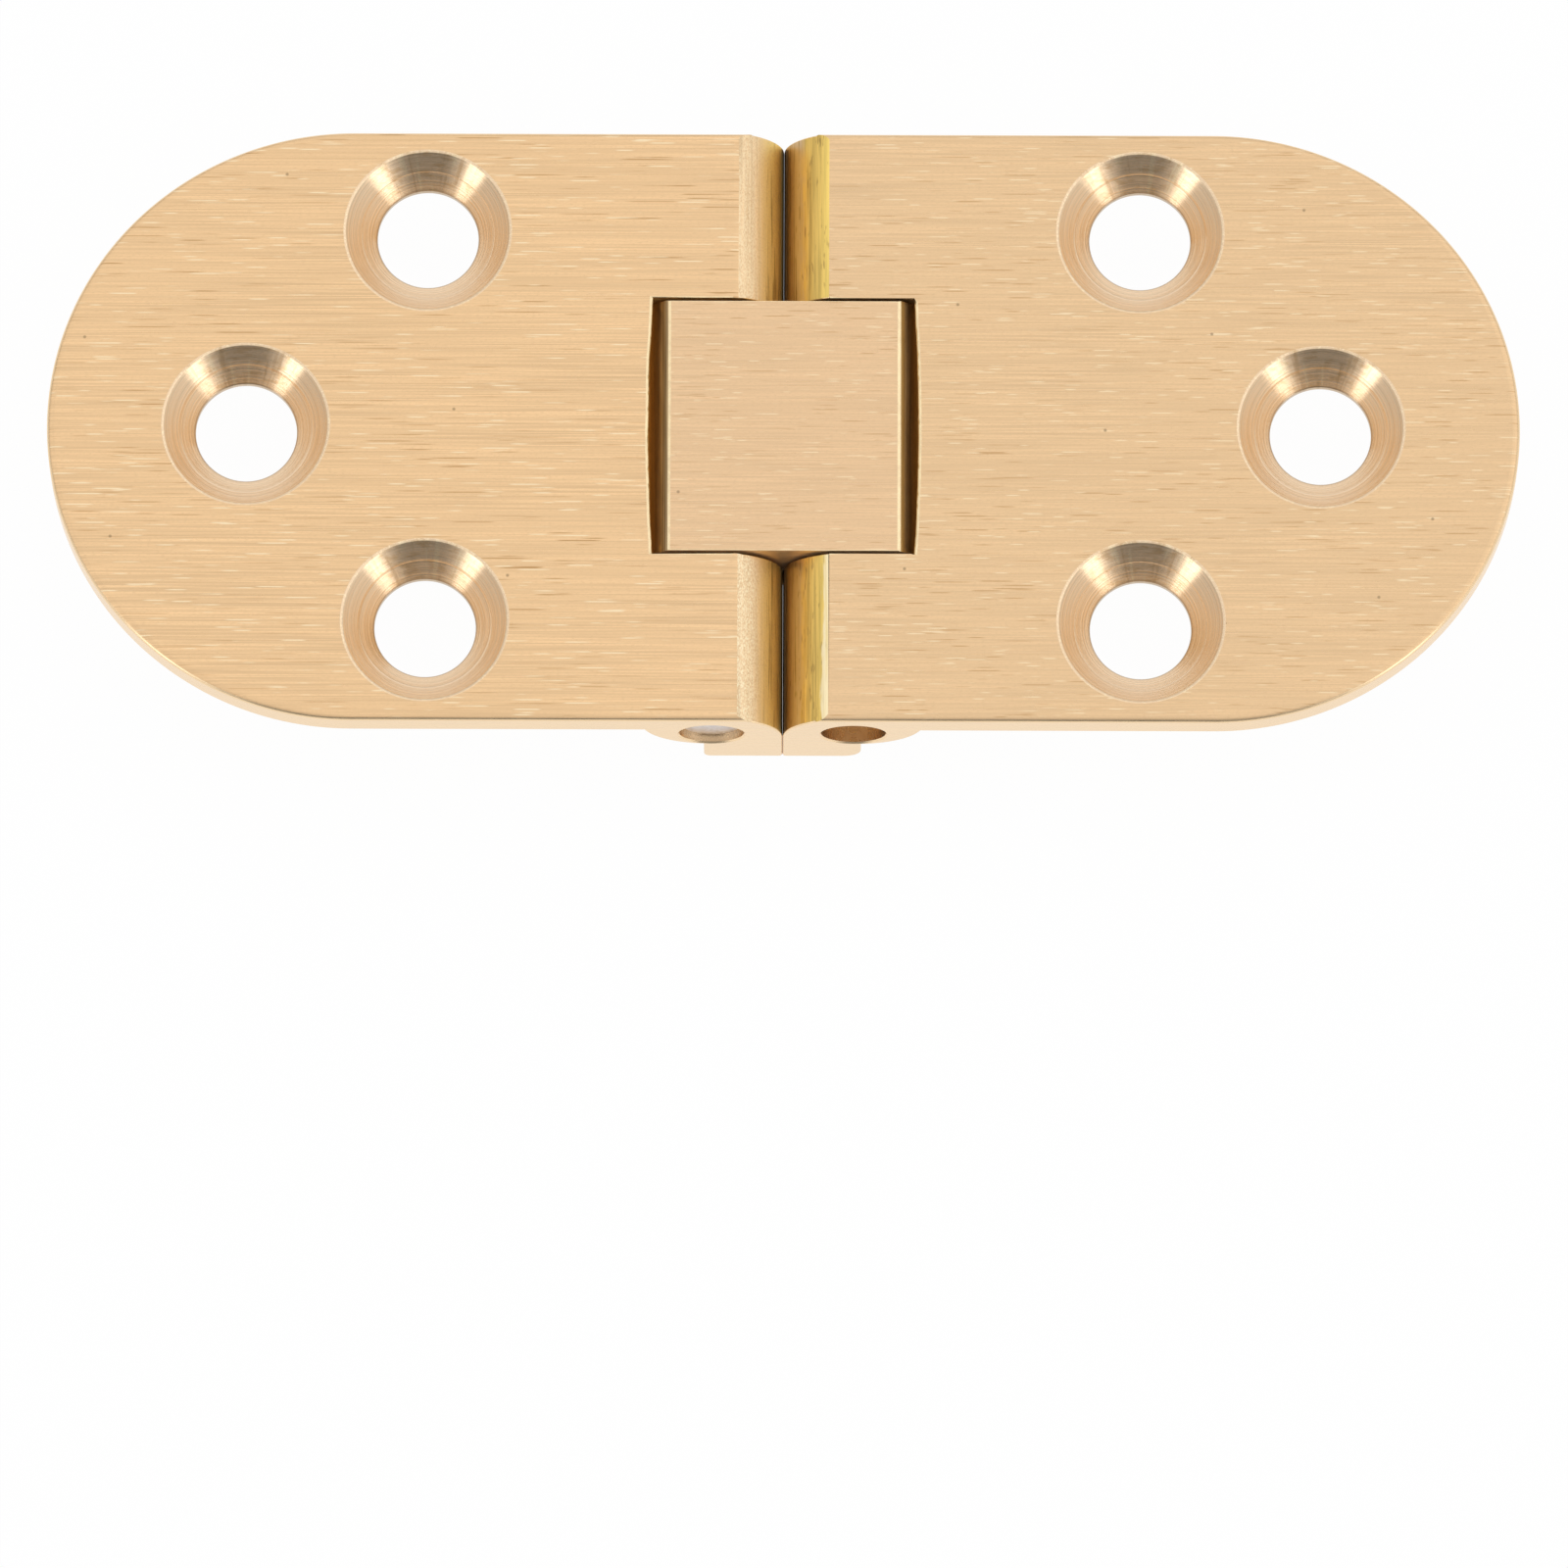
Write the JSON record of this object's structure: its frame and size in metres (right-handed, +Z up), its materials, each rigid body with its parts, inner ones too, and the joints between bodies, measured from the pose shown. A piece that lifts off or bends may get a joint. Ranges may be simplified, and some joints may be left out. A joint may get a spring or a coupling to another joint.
{
  "type": "drop leaf table hinge",
  "caption": "Flush brass table hinge: round-ended leaves with countersunk screw holes fold up on pins through a square-topped centre link.",
  "frame": {"origin": "centre of the open hinge, on the plane that the feet stand on; x = 0 is the parting plane", "axes": "+X along the open hinge towards the right leaf, +Y along the pins, +Z up out of the show face"},
  "size_m": [0.08, 0.0332, 0.0074],
  "materials": {
    "leaf_brass": "brushed along the leaf, satin",
    "link_brass": "finely brushed, satin",
    "pin_steel": "drawn, plain"
  },
  "bodies": {
    "left_leaf": {"left_leaf": "leaf_brass", "left_pin": "pin_steel"},
    "link": {"centre_link": "link_brass"},
    "right_leaf": {"right_leaf": "leaf_brass", "right_pin": "pin_steel"}
  },
  "joints": [
    {"name": "left_fold", "type": "hinge", "parent": "left_leaf", "child": "link", "pos_m": [-0.00385, 0, 0.00445], "axis": [0, -1, 0], "range_deg": [0, 90]},
    {"name": "right_fold", "type": "hinge", "parent": "link", "child": "right_leaf", "pos_m": [0.00385, 0, 0.00445], "axis": [0, -1, 0], "range_deg": [0, 90]}
  ]
}
